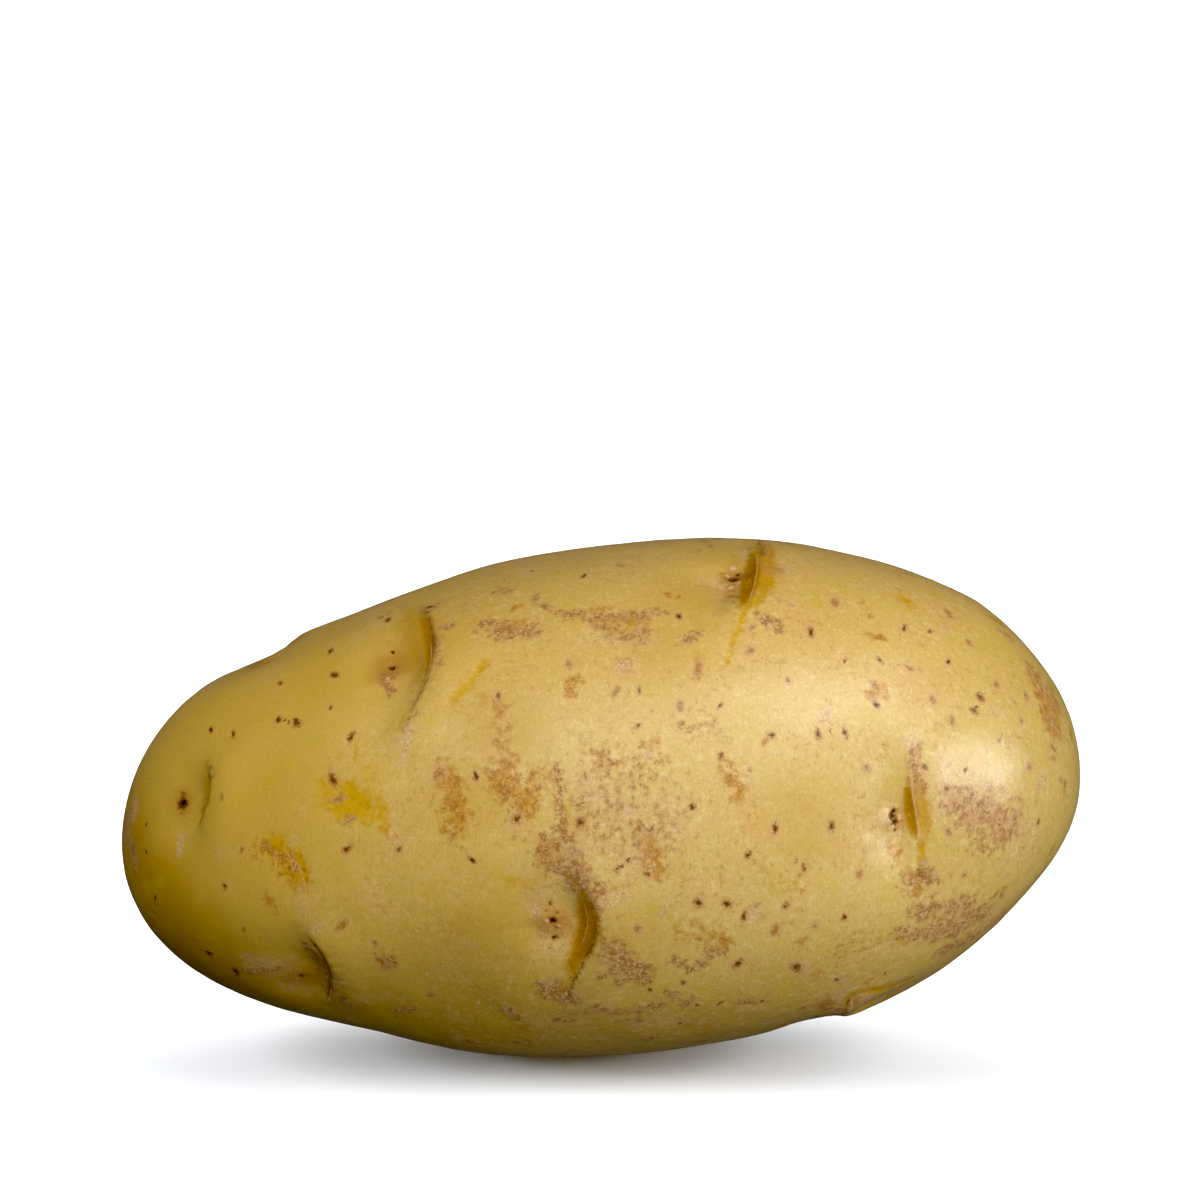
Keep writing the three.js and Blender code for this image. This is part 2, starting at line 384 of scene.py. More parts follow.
# Soft dull brown and tawny clouds that show in the photograph: pixel, radius in millimetres, strength
clouds = {
    # the hollow clouds: a dull brown that is partly painted shade, in the dents, round the buds and where the ends
    # turn under
    "hollow": [((182, 802), 1.7, 1.0), ((765, 566), 2.6, 0.8), ((743, 582), 1.9, 1.0), ((732, 590), 1.2, 0.9), ((392, 685), 1.4, 0.7), ((308, 968), 2.2, 0.8),
               ((895, 820), 1.5, 0.7), ((553, 921), 2.4, 0.7), ((458, 935), 4.0, 0.45), ((545, 875), 2.5, 0.45),
               ((600, 1025), 4.0, 0.4), ((300, 958), 3.4, 0.4), ((880, 990), 3.0, 0.3), ((1000, 880), 4.0, 0.25),
               ((150, 900), 5.0, 0.4), ((700, 580), 5.0, 0.2)],
    "tawny": [((505, 925), 7.0, 0.7), ((470, 790), 6.0, 0.5), ((498, 730), 5.0, 0.7), ((330, 690), 6.0, 0.4),
              ((620, 940), 6.0, 0.5), ((800, 820), 5.0, 0.4), ((690, 600), 5.0, 0.6), ((730, 560), 5.0, 0.6),
              ((300, 770), 6.0, 0.3), ((240, 960), 5.0, 0.5), ((660, 640), 5.0, 0.4), ((430, 640), 5.0, 0.4)],
}

# Stains and thin or scurfy places: the line each one follows in pixels, half its width in millimetres and
# its strength
stains = {
    "clear": [  # thin skin, where the yellow flesh shows through
        ([(334, 792), (355, 803), (374, 808)], 2.3, 0.85),
        ([(350, 752), (368, 768), (376, 786)], 2.2, 0.3),
        ([(276, 848), (290, 862), (298, 876)], 1.6, 1.0),
        ([(455, 696), (468, 682), (484, 664)], 0.9, 0.7),
        ([(426, 893), (436, 898)], 1.0, 0.3),
        ([(650, 842), (652, 862)], 0.8, 0.7),
        ([(510, 880), (528, 890)], 1.4, 0.35),
        ([(762, 548), (764, 572), (762, 588)], 1.5, 1.0),
        ([(762, 585), (756, 596), (750, 604)], 0.8, 1.0),
        ([(750, 598), (741, 622), (733, 642), (726, 664)], 0.4, 0.75),
        ([(920, 788), (924, 812), (925, 830)], 0.42, 0.9),
        ([(922, 842), (921, 856), (919, 878)], 0.5, 0.75),
        ([(862, 992), (888, 987), (914, 977)], 0.55, 0.9),
        ([(897, 598), (910, 602)], 0.9, 0.7),
    ],
    "amber": [  # old stains, orange to brown
        ([(444, 772), (454, 800), (452, 830)], 1.6, 0.95),
        ([(500, 772), (512, 784), (524, 796)], 2.2, 1.0),
        ([(494, 702), (503, 722), (500, 742)], 1.0, 0.7),
        ([(649, 838), (652, 866)], 1.5, 1.0),
        ([(733, 774), (741, 792)], 1.1, 0.9),
        ([(594, 612), (618, 618), (640, 618)], 1.2, 0.7),
        ([(720, 770), (722, 780)], 0.8, 0.6),
        ([(618, 778), (634, 784)], 1.3, 0.45),
        ([(588, 756), (604, 764)], 1.0, 0.45),
        ([(645, 755), (668, 765)], 1.2, 0.4),
        ([(590, 615), (616, 628), (640, 636)], 1.5, 0.55),
        ([(540, 780), (560, 786)], 1.0, 0.5),
        ([(652, 830), (664, 846)], 1.2, 0.55),
        ([(756, 860), (770, 866)], 0.8, 0.35),
        ([(780, 880), (800, 884)], 1.0, 0.3),
        ([(840, 945), (870, 940)], 1.6, 0.35),
        ([(690, 930), (720, 940)], 1.8, 0.4),
        ([(490, 628), (512, 628), (530, 632)], 1.2, 0.8),
        ([(546, 850), (560, 858), (574, 868)], 1.8, 0.7),
        ([(573, 866), (584, 880), (590, 892)], 1.3, 0.8),
        ([(268, 850), (284, 858), (296, 880)], 1.6, 0.7),
        ([(764, 550), (766, 572)], 1.1, 0.8),
        ([(722, 590), (730, 596), (745, 600)], 1.0, 0.7),
        ([(264, 900), (276, 906)], 1.0, 0.5),
        ([(958, 800), (985, 814), (1015, 818)], 2.0, 0.6),
        ([(966, 818), (984, 822)], 0.9, 0.9),
        ([(918, 878), (917, 892)], 0.9, 1.0),
        ([(889, 846), (895, 858)], 1.0, 0.6),
        ([(1036, 678), (1044, 700), (1050, 725)], 1.7, 0.9),
        ([(864, 604), (868, 616)], 0.7, 0.6),
        ([(948, 720), (954, 723)], 0.6, 0.6),
        ([(1050, 688), (1057, 712), (1058, 730)], 1.2, 0.8),
        ([(1006, 736), (1008, 746)], 0.7, 0.6),
        ([(722, 760), (724, 776)], 0.7, 0.6),
        ([(696, 660), (700, 676)], 0.7, 0.7),
        ([(845, 1000), (856, 1002)], 0.9, 0.8),
    ],
    "russet": [  # corky netting, brown and grainy
        ([(484, 624), (505, 632), (532, 632)], 1.3, 0.8),
        ([(538, 597), (553, 610), (590, 616), (630, 614), (663, 612)], 0.7, 0.8),
        ([(600, 620), (628, 636), (640, 640)], 1.3, 0.5),
        ([(684, 640), (700, 632)], 0.9, 0.7),
        ([(768, 568), (782, 572)], 0.5, 0.8),
        ([(764, 546), (772, 558)], 0.6, 0.9),
        ([(745, 588), (752, 596)], 0.45, 0.8),
        ([(556, 765), (560, 800), (563, 831), (574, 850)], 0.6, 0.8),
        ([(548, 848), (566, 866), (590, 884)], 2.1, 0.6),
        ([(612, 950), (626, 968), (642, 976)], 1.7, 0.9),
        ([(618, 938), (622, 952)], 1.0, 0.7),
        ([(674, 960), (692, 966), (708, 956), (718, 952)], 0.9, 0.9),
        ([(594, 790), (640, 796), (672, 812)], 2.4, 0.22),
        ([(584, 820), (630, 832), (664, 836)], 2.4, 0.25),
        ([(573, 800), (592, 812)], 0.8, 0.6),
        ([(604, 800), (616, 806)], 0.7, 0.5),
        ([(640, 824), (656, 830)], 0.8, 0.6),
        ([(606, 760), (650, 770)], 2.0, 0.35),
        ([(680, 725), (706, 730), (722, 734)], 0.9, 0.5),
        ([(960, 802), (985, 814), (1008, 822)], 2.2, 0.6),
        ([(975, 840), (1000, 846)], 1.7, 0.4),
        ([(912, 750), (918, 790)], 0.4, 1.0),
        ([(920, 912), (948, 906), (968, 908)], 1.6, 0.7),
        ([(900, 935), (930, 932), (960, 925), (990, 908)], 1.5, 0.85),
        ([(940, 952), (968, 938), (1000, 916)], 1.3, 0.9),
        ([(1036, 880), (1046, 866)], 0.8, 0.7),
        ([(843, 1010), (850, 1000)], 1.4, 1.0),
        ([(820, 1004), (836, 1012)], 0.9, 0.8),
        ([(780, 1026), (806, 1022)], 0.5, 0.9),
        ([(596, 1010), (625, 1012), (660, 1006)], 1.0, 0.5),
        ([(540, 985), (556, 992), (570, 998)], 1.3, 1.0),
        ([(503, 1009), (518, 1017)], 0.6, 1.0),
        ([(555, 1021), (571, 1020)], 0.5, 1.0),
        ([(468, 1040), (480, 1042)], 0.5, 0.8),
        ([(517, 1042), (530, 1041)], 0.5, 0.8),
        ([(598, 1007), (609, 1013)], 0.6, 0.9),
        ([(684, 1003), (694, 998)], 0.6, 0.9),
        ([(738, 1001), (766, 1002)], 0.5, 0.8),
        ([(620, 1022), (640, 1020)], 0.5, 0.7),
        ([(645, 1039), (656, 1038)], 0.5, 0.8),
        ([(668, 992), (676, 996)], 0.6, 0.8),
        ([(572, 884), (586, 892), (592, 902)], 1.1, 1.0),
        ([(596, 905), (599, 930)], 0.5, 0.9),
        ([(243, 970), (262, 972), (279, 968)], 0.6, 0.8),
        ([(205, 950), (214, 956)], 0.7, 0.9),
        ([(308, 944), (324, 966), (330, 992)], 1.0, 1.0),
        ([(398, 1012), (414, 1010)], 0.7, 0.8),
        ([(343, 998), (350, 1006)], 0.6, 0.8),
        ([(380, 955), (384, 968)], 0.7, 0.6),
        ([(405, 722), (416, 712)], 0.8, 0.6),
        ([(391, 676), (390, 692)], 0.8, 1.0),
        ([(436, 604), (430, 612)], 0.5, 0.8),
        ([(377, 619), (402, 606)], 0.4, 0.7),
        ([(208, 768), (212, 776)], 0.4, 0.9),
        ([(205, 798), (203, 812)], 0.4, 1.0),

        ([(436, 640), (440, 664)], 0.6, 0.6),
        ([(918, 745), (922, 790)], 0.5, 0.8),
        ([(910, 880), (926, 878)], 1.3, 0.7),
        ([(1030, 668), (1046, 690), (1050, 720)], 1.5, 0.5),
        ([(700, 540), (712, 550)], 0.6, 0.6),
        ([(498, 590), (512, 592)], 1.0, 0.5),
        ([(128, 820), (134, 860)], 1.4, 0.7),
    ],
    "scurf": [  # pinkish, pale and dull
        ([(405, 742), (412, 726)], 1.3, 0.9),
        ([(404, 748), (399, 762)], 0.7, 0.8),
        ([(181, 836), (180, 852)], 0.6, 0.9),
        ([(136, 798), (134, 812)], 0.8, 0.9),
        ([(250, 962), (285, 965), (300, 985)], 2.0, 0.5),
        ([(864, 844), (872, 850)], 1.8, 0.4),
        ([(909, 744), (913, 768), (919, 792)], 0.9, 1.0),
        ([(950, 800), (990, 812), (1020, 840)], 4.4, 0.6),
        ([(300, 884), (306, 930)], 0.5, 0.5),
        ([(766, 567), (782, 569)], 1.1, 1.0),
        ([(746, 550), (749, 563)], 0.75, 1.0),
        ([(588, 634), (620, 640), (652, 640)], 1.4, 0.55),
        ([(536, 900), (548, 925), (552, 948)], 1.8, 0.6),
        ([(574, 850), (584, 858)], 1.1, 1.0),
        ([(578, 872), (594, 886), (600, 900)], 1.0, 0.9),
        ([(590, 790), (630, 815), (666, 820)], 4.0, 0.6),
        ([(560, 850), (600, 850), (640, 862)], 2.6, 0.5),
        ([(560, 870), (580, 880)], 1.2, 0.8),
        ([(636, 850), (648, 872)], 1.6, 0.5),
        ([(924, 868), (930, 876)], 0.9, 0.9),
        ([(878, 820), (896, 834)], 1.2, 0.6),
        ([(930, 905), (970, 908)], 2.0, 0.55),
        ([(955, 785), (985, 790)], 1.8, 0.5),
        ([(862, 995), (876, 1000)], 0.9, 0.9),
        ([(832, 1000), (840, 992)], 0.9, 0.7),
        ([(800, 968), (850, 985)], 1.8, 0.35),
        ([(596, 890), (600, 924)], 0.7, 0.7),
        ([(722, 590), (712, 582)], 1.3, 0.5),
        ([(326, 925), (318, 930)], 0.8, 0.6),
        ([(240, 960), (262, 964)], 1.0, 0.4),
        ([(620, 700), (640, 712)], 1.6, 0.3),
        ([(1000, 740), (1012, 742)], 1.0, 0.4),
        ([(1055, 745), (1060, 735)], 0.8, 0.6),
    ],
}

# The same kinds strewn by rule where the photograph doesn't reach, and small flecks of them all over
strewn = {"clear": 10, "amber": 16, "russet": 34, "scurf": 14}
flecks = {"clear": 10, "amber": 70, "russet": 110, "scurf": 90}
fleckSize = (0.3, 0.95)


def isSeen(place, facing, rim=0.12):
    toCamera = Vector(theCamera.location) / mm - Vector(place)
    return toCamera.normalized().dot(Vector(facing)) > rim


def randomPlace():
    # an even scatter over the skin, by turn and by share of the length
    share = chance.uniform(-0.97, 0.97)
    return turnedPlace(axis["half"] * share, chance.uniform(0, 360))


# the edges of the stains wander: how far, and over what size, in millimetres
wander = [{"reach": 0.9, "size": 2.4}, {"reach": 0.45, "size": 0.9}]
noise.seed_set(11)  # they wander the same way in every run
strayed = spots.copy()
for wave in wander:
    strayed += wave["reach"] * np.array([noise.noise_vector(Vector(p) / wave["size"]) for p in spots])


def addStain(kind, line, half, strength):
    near, away, _, _ = nearLine(line, half, spots if half < 1 else strayed)
    fields[kind][near] = np.maximum(fields[kind][near], strength * (1 - away / half))


for kind, places in clouds.items():
    for pixel, reach, strength in places:
        near, away, _, _ = nearLine(np.array([seenPlace(pixel)[0]]), 2 * reach, strayed)
        fields[kind][near] = np.maximum(fields[kind][near], strength * bump(away, reach))
for kind, marks in stains.items():
    for pixels, half, strength in marks:
        addStain(kind, smoothLine([seenPlace(pixel)[0] for pixel in pixels]), half * 1.5, strength)
    made = 0
    while made < strewn[kind]:
        place, facing = randomPlace()
        if isSeen(place, facing):
            continue
        step = Vector([chance.gauss(0, 1) for _ in range(3)])
        step = np.array(step.cross(Vector(facing)).normalized()) * chance.uniform(0.5, 4)
        line = smoothLine([place - step, place, place + step * chance.uniform(0.5, 1.2)])
        addStain(kind, line, chance.uniform(1, 3.6), chance.uniform(0.4, 0.9))
        made += 1
    for _ in range(flecks[kind]):
        place, facing = randomPlace()
        if chance.uniform(-55, -5) > place[0]:
            continue  # few at the rose end
        step = Vector([chance.gauss(0, 1) for _ in range(3)]).cross(Vector(facing)).normalized()
        line = smoothLine([place, place + np.array(step) * chance.uniform(0.2, 1.6)])
        addStain(kind, line, chance.uniform(*fleckSize) * 1.5, chance.uniform(0.55, 1))
print("stains laid")

# Pale scratches in the film, as thin as a hair
scratches = [[(545, 808), (547, 824), (548, 839)], [(552, 763), (555, 782), (558, 801)], [(538, 939), (531, 960), (525, 980)],
             [(273, 854), (277, 867)], [(294, 857), (301, 870), (305, 886), (309, 908), (312, 928)],
             [(322, 729), (331, 745)], [(586, 862), (612, 868), (637, 866)], [(282, 846), (290, 858), (293, 872)],
             [(640, 668), (668, 676)], [(905, 700), (930, 694)], [(935, 752), (985, 746)], [(700, 820), (706, 850)]]
for pixels in scratches:
    line = smoothLine([seenPlace(pixel)[0] for pixel in pixels])
    near, away, foot, along = nearLine(line, 1)
    across = np.where(((spots[near] - foot)[:, 0]) > 0, away, -away)
    nearer = 1 - away > coordinates["fibre"][near, 2]
    coordinates["fibre"][near[nearer]] = np.stack([across * 3, along, 1 - away], 1)[nearer]

# Pores, the small corky dots. Radius of the dark middle in millimetres, and how dark it is
pores = {
    "dark": {"radius": 0.5, "tone": 1, "at": [
        (330, 651), (280, 683), (278, 720), (351, 737), (472, 860), (211, 730), (233, 734), (155, 898), (388, 619), (225, 886), (476, 776),
        (772, 735), (748, 855), (698, 903), (727, 904), (844, 917), (876, 704), (845, 733), (818, 734), (949, 661),
        (831, 826), (904, 628), (811, 632), (679, 616), (584, 576), (974, 711), (692, 807), (775, 829), (744, 917), (786, 906)]},
    "large": {"radius": 0.68, "tone": 0.95, "at": [
        (335, 675), (296, 722), (347, 849), (209, 953), (236, 972), (333, 780), (430, 607), (517, 819), (796, 967), (738, 964), (580, 823), (980, 697)]},
    "small": {"radius": 0.38, "tone": 0.85, "at": [
        (331, 708), (146, 852), (146, 825), (399, 849), (532, 571), (639, 690), (638, 726),
        (498, 696), (880, 660), (930, 631), (946, 789), (965, 770), (924, 767), (804, 868), (720, 706), (721, 756),
        (845, 660), (651, 1038), (679, 1024), (762, 1001), (720, 1003), (650, 990), (683, 983), (697, 1005),
        (788, 681), (617, 869), (647, 874), (628, 860), (1061, 780), (1038, 822), (837, 980), (885, 973)]},
    "faint": {"radius": 0.46, "tone": 0.6, "at": [
        (221, 797), (242, 850), (154, 912), (537, 633), (569, 664), (616, 691), (585, 776), (752, 628),
        (750, 651), (621, 565), (970, 642), (910, 668), (933, 700), (1026, 696), (997, 684),
        (866, 768), (859, 874), (948, 832), (1029, 767), (952, 721), (1021, 721), (965, 875), (375, 943), (430, 995),
        (244, 929), (604, 1010), (638, 929), (815, 926), (1002, 895), (680, 706), (510, 1010), (590, 620)]},
    "ringed": {"radius": 0.6, "tone": -0.8, "at": [
        (438, 774), (698, 669), (835, 602), (949, 613), (341, 926), (381, 962), (775, 930)]},
}
hiddenPores = {"spacing": 4.6, "tries": 1500, "radius": (0.32, 0.76), "tone": (0.45, 1)}
poreReach = 2.4  # how far out the halo can show, in millimetres

poreList = []
for kind in pores.values():
    for pixel in kind["at"]:
        place, facing = seenPlace(pixel)
        poreList.append((place, facing, kind["radius"] * chance.uniform(0.85, 1.2), kind["tone"]))
for _ in range(hiddenPores["tries"]):
    place, facing = randomPlace()
    gaps = [np.linalg.norm(place - other[0]) for other in poreList]
    if not isSeen(place, facing) and min(gaps) > hiddenPores["spacing"]:
        poreList.append((place, facing, chance.uniform(*hiddenPores["radius"]), chance.uniform(*hiddenPores["tone"])))

centres = np.array([pore[0] for pore in poreList])
for place, facing, radius, tone in poreList:
    gap = np.sort(np.linalg.norm(centres - place, axis=1))[1]
    reach = min(poreReach, gap / 2)
    near, away, _, _ = nearLine(np.array([place]), reach)
    spin = chance.gauss(0, 0.6)  # most are longest round the tuber
    side = Vector(facing).cross(Vector((1, 0, 0))).normalized()
    other = Vector(facing).cross(side)
    long = np.array(side * math.cos(spin) + other * math.sin(spin))
    short = np.array(Vector(facing).cross(Vector(long)))
    stretch = chance.uniform(1, 1.5)
    offset = spots[near] - place
    coordinates["pore"][near, 0] = offset @ long / (radius * stretch)
    coordinates["pore"][near, 1] = offset @ short * stretch / radius
    coordinates["pore"][near, 2] = tone
    fields["poreNear"][near] = 1 - away / reach
print("pores placed:", len(poreList))

# Uneven flesh under the skin, and the skin's own fine unevenness: size and height in millimetres
swell = [{"size": 14, "height": 0.16}, {"size": 5, "height": 0.07}, {"size": 1.9, "height": 0.025}]


def noiseAt(size, shift):
    move = Vector((shift, 0, 0))
    return np.array([noise.noise(Vector(p) / size + move) for p in spots])


fills = [((880, 812), 6, 0.45)]  # the dish by this eye is shallower in the skin: pixel, radius, height
for pixel, reach, height in fills:
    near, away, _, _ = nearLine(np.array([seenPlace(pixel)[0]]), 2 * reach)
    relief[near] += height * bump(away, reach)
for order, wave in enumerate(swell):
    relief += wave["height"] * noiseAt(wave["size"], 7.3 * order)
relief -= 0.12 * fields["clear"].clip(0, 1)
relief += 0.05 * fields["russet"].clip(0, 1) * noiseAt(0.7, 31)

moved = spots + outward * relief[:, None]
low, high = np.array(cadBox[0]) / mm, np.array(cadBox[1]) / mm
moved = moved.clip(low, high)  # it stays in the solid's box, and flat where it rests
skin.vertices.foreach_set("co", (moved * mm).ravel())


def keepField(name, values):
    shape = "FLOAT_VECTOR" if values.ndim == 2 else "FLOAT"
    layer = skin.attributes.new(name, shape, "POINT")
    layer.data.foreach_set("vector" if values.ndim == 2 else "value", values.astype(np.float32).ravel())


for name, values in {**fields, **coordinates}.items():
    keepField(name, values)
skin.update()
print("relief raised, highest", round(float(relief.max()), 2), "mm")

# Washed potato skin: a waxy cork film over yellow flesh, so the eye sees a soft broad gloss, a little
# light from inside, and dull grainy places where the cork is thick
potatoSkin = {
    "rose": "#c7a348",        # golden where the eyes crowd together
    "middle": "#d0b26a",
    "top": "#c89c48",         # painted shade: darker and warmer towards the top, where it turns from the lights
    "stem": "#c9ab5c",
    # painted shade: darker and duller towards the bottom, on the underside
    "belly": "#ae8c28",
    "underRoseShade": "#b18618",   # painted shade, deeper where the rose end turns under
    "tan": "#cfa562",         # broad warm clouds
    "green": "#c3a83e",       # and cooler yellow ones
    "speck": "#a97f3c",
    "pale": "#e3cd98",
    "roughness": 0.3,
    "bumpHeight": 0.12 * mm,
}

# Stains, from the one that lies lowest. Each has layers: colour, share, and the grain that it shows in,
# by size in millimetres, from where it starts to where it is full
stainLayers = {
    "clear": {"fray": 0.5, "edge": (0.08, 0.6), "layers": [
        ("#c49913", 0.85, 2.2, 0.2, 0.5), ("#b08214", 0.4, 0.8, 0.5, 0.62)]},
    "amber": {"fray": 1.1, "edge": (0.05, 0.75), "layers": [
        ("#b98330", 0.85, 2.2, 0.25, 0.55), ("#9a6a2c", 0.6, 0.8, 0.46, 0.62), ("#d6af7c", 0.45, 0.32, 0.52, 0.64),
        ("#875c26", 0.5, 0.33, 0.54, 0.64)]},
    "scurf": {"fray": 1.0, "edge": (0.08, 0.7), "layers": [
        ("#cba67a", 0.65, 2.2, 0.2, 0.5), ("#b88848", 0.5, 0.8, 0.46, 0.64), ("#e2cba2", 0.6, 0.32, 0.52, 0.66),
        ("#946a38", 0.4, 0.33, 0.56, 0.66)]},
    "russet": {"fray": 1.1, "edge": (0.06, 0.7), "layers": [
        ("#b88d55", 0.85, 2.2, 0.2, 0.45), ("#9b6c36", 0.7, 0.8, 0.44, 0.6), ("#dec39c", 0.65, 0.33, 0.53, 0.65),
        ("#84572a", 0.55, 0.32, 0.54, 0.64)]},
}


def skinMaterial():
    made = bpy.data.materials.new("waxyPotatoSkin")
    made.use_nodes = True
    tree = made.node_tree
    tree.nodes.clear()

    def add(kind, settings=None, links=None, out=0):
        # adds a node, sets its inputs and properties by name or number, links its inputs, gives an output
        node = tree.nodes.new("ShaderNode" + kind)
        for key, value in (settings or {}).items():
            if isinstance(key, str) and hasattr(node, key):
                setattr(node, key, value)
        for key, value in (settings or {}).items():
            if isinstance(key, int) or not hasattr(node, key):
                node.inputs[key].default_value = value
        for key, source in (links or {}).items():
            tree.links.new(source, node.inputs[key])
        return node.outputs[out]

    def reckon(operation, *values):
        # a sum of numbers and outputs
        links = {i: v for i, v in enumerate(values) if not isinstance(v, (int, float))}
        settings = {i: v for i, v in enumerate(values) if isinstance(v, (int, float))}
        return add("Math", {"operation": operation, **settings}, links)

    def times(*values):
        result = values[0]
        for value in values[1:]:
            result = reckon("MULTIPLY", result, value)
        return result

    def ramp(value, low, high):
        # from 0 at low to 1 at high, smoothly
        return add("MapRange", {"interpolation_type": "SMOOTHSTEP", 1: low, 2: high}, {0: value})

    def over(base, tint, share):
        return add("Mix", {"data_type": "RGBA", 7: linear(tint)}, {0: share, 6: base}, 2)

    def field(name):
        return add("Attribute", {"attribute_name": name}, out="Fac")

    def vector(name):
        split = add("SeparateXYZ", {}, {0: add("Attribute", {"attribute_name": name}, out="Vector")}).node
        return split.outputs

    def offset(grainSize, reach):
        # a grain as a number between about minus half and plus half the reach
        return reckon("MULTIPLY_ADD", grain[grainSize], reach, -reach / 2)

    local = add("TexCoord", out="Object")
    place = add("VectorMath", {"operation": "SCALE", "Scale": 1 / mm}, {0: local})  # in millimetres
    grain = {}
    for size, detail in ((22, 2), (6, 2), (2.2, 3), (0.8, 3), (0.32, 2), (0.33, 2)):
        moved = add("VectorMath", {"operation": "ADD", 1: (size * 31, size * 7, 0)}, {0: place})
        grain[size] = add("TexNoise", {"Scale": 1 / size, "Detail": detail, "Roughness": 0.6}, {"Vector": moved})
    stretched = add("VectorMath", {"operation": "MULTIPLY", 1: (1 / 0.2, 1 / 0.2, 1 / 3)}, {0: place})
    streaks = add("TexNoise", {"Scale": 1, "Detail": 2}, {"Vector": stretched})

    # the flesh under the film, with painted shade towards the top, the bottom and under the rose end
    along, _, up = add("SeparateXYZ", {}, {0: place}).node.outputs
    colour = add("RGB")
    colour.node.outputs[0].default_value = linear(potatoSkin["middle"])
    clouded = reckon("ADD", along, offset(22, 40))
    colour = over(colour, potatoSkin["rose"], ramp(clouded, 6, -46))
    colour = over(colour, potatoSkin["stem"], ramp(clouded, 28, 52))
    # painted shade: darker towards the bottom and towards the top
    colour = over(colour, potatoSkin["belly"], times(ramp(reckon("ADD", up, offset(22, 16)), 24, 2), 0.8))
    colour = over(colour, potatoSkin["top"], times(ramp(reckon("ADD", up, offset(22, 12)), 38, 60), 0.55))
    # painted shade under the rose end, where it turns under
    slant = reckon("ADD", times(along, 0.8), reckon("MULTIPLY_ADD", up, 0.6, offset(6, 6)))
    colour = over(colour, potatoSkin["underRoseShade"], times(ramp(slant, -20, -28), 0.75))
    # the rose end is smooth, and the rest cloudy, with faint ochre spots
    rough = ramp(reckon("ADD", along, offset(6, 60)), -45, -5)
    colour = over(colour, potatoSkin["tan"], times(ramp(grain[6], 0.52, 0.75), rough, 0.6))
    colour = over(colour, potatoSkin["green"], times(ramp(grain[6], 0.46, 0.25), 0.6))
    colour = over(colour, potatoSkin["tan"], times(ramp(grain[2.2], 0.5, 0.72), rough, 0.4))
    spotted = times(ramp(reckon("ADD", grain[0.8], offset(0.32, 0.25)), 0.56, 0.66), ramp(grain[6], 0.36, 0.6), rough)
    colour = over(colour, potatoSkin["speck"], times(spotted, 0.5))
    colour = over(colour, potatoSkin["pale"], times(ramp(grain[0.8], 0.46, 0.3), rough, 0.35))
    colour = over(colour, potatoSkin["pale"], times(ramp(grain[0.32], 0.54, 0.7), rough, 0.32))
    colour = over(colour, potatoSkin["speck"], times(ramp(grain[0.33], 0.54, 0.68), 0.28))
    colour = over(colour, potatoSkin["pale"], times(ramp(streaks, 0.56, 0.72), rough, 0.3))

    colour = over(colour, "#b68f30", times(field("tawny"), 0.8))

    # stains, each with a ragged edge
    cork = None
    for name, stain in stainLayers.items():
        ragged = reckon("ADD", field(name), reckon("ADD", offset(0.8, stain["fray"]), offset(0.32, stain["fray"] / 2)))
        mask = times(ramp(ragged, *stain["edge"]), ramp(field(name), 0, 0.12))
        for tint, share, size, low, high in stain["layers"]:
            colour = over(colour, tint, times(mask, ramp(grain[size], low, high), share))
        cork = mask

    # the eyes: a brown dish by each bud, partly painted shade in its hollow, lenses of thin skin whose darkest tone is
    # partly painted shade in the crease, a crack, a pale fibre, pits whose black is painted shade in the hole, and
    # crumbs
    dish = ramp(reckon("ADD", field("hollow"), offset(2.2, 0.5)), 0.15, 1.1)
    colour = over(colour, "#a87435", times(dish, 0.75))
    deep, gold, tone = vector("lens")
    colour = over(colour, "#b98a26", times(ramp(reckon("ADD", gold, offset(0.8, 0.9)), 0.75, 1.9), 0.6))
    lens = reckon("ADD", deep, reckon("ADD", offset(0.8, 1.0), offset(0.32, 0.5)))
    colour = over(colour, "#b07c12", times(ramp(lens, 0.5, 1.6), 0.92))
    # the lens's darkest tone: partly painted shade in the crease beside the brow
    colour = over(colour, "#7c4c0e", times(ramp(lens, 0.8, 1.9), tone, 0.95))
    colour = over(colour, "#c79b3c", times(ramp(lens, 0.6, 1.2), ramp(grain[0.32], 0.5, 0.68), 0.5))
    acrossCrack, alongCrack, nearCrack = vector("crack")
    strayed = reckon("ABSOLUTE", reckon("ADD", acrossCrack, reckon("ADD", offset(2.2, 0.9), offset(0.8, 0.5))))
    within = times(ramp(alongCrack, 0, 0.15), ramp(alongCrack, 1, 0.85), ramp(nearCrack, 0.3, 0.5))
    crack = times(ramp(strayed, 0.24, 0.04), within, ramp(grain[0.8], 0.38, 0.55))
    colour = over(colour, "#8f6a3c", times(ramp(strayed, 0.7, 0.2), within, ramp(grain[0.32], 0.42, 0.6), 0.8))
    colour = over(colour, "#70491c", times(crack, 0.55))
    acrossFibre, alongFibre, nearFibre = vector("fibre")
    strayed = reckon("ABSOLUTE", reckon("ADD", acrossFibre, offset(2.2, 0.35)))
    within = times(ramp(alongFibre, 0, 0.15), ramp(alongFibre, 1, 0.85), ramp(nearFibre, 0.3, 0.5))
    colour = over(colour, "#d8ab72", times(ramp(strayed, 0.24, 0.1), within, ramp(grain[0.8], 0.3, 0.5), 0.9))
    pit = reckon("ADD", field("pit"), reckon("ADD", offset(0.32, 0.9), offset(0.8, 0.5)))
    colour = over(colour, "#6f4318", times(ramp(pit, 0.05, 0.5), ramp(field("pit"), 0.02, 0.2), 0.85))
    # the black of a pit: painted shade in the hole
    pit = times(ramp(pit, 0.35, 0.8), ramp(field("pit"), 0.1, 0.4))
    colour = over(colour, "#271405", times(pit, 0.95))
    crumb = reckon("ADD", field("crumb"), reckon("ADD", offset(0.32, 1.0), offset(0.8, 0.5)))
    crumb = times(ramp(crumb, 0.35, 0.6), ramp(field("crumb"), 0.1, 0.3))
    colour = over(colour, "#d3b680", times(crumb, 0.8))

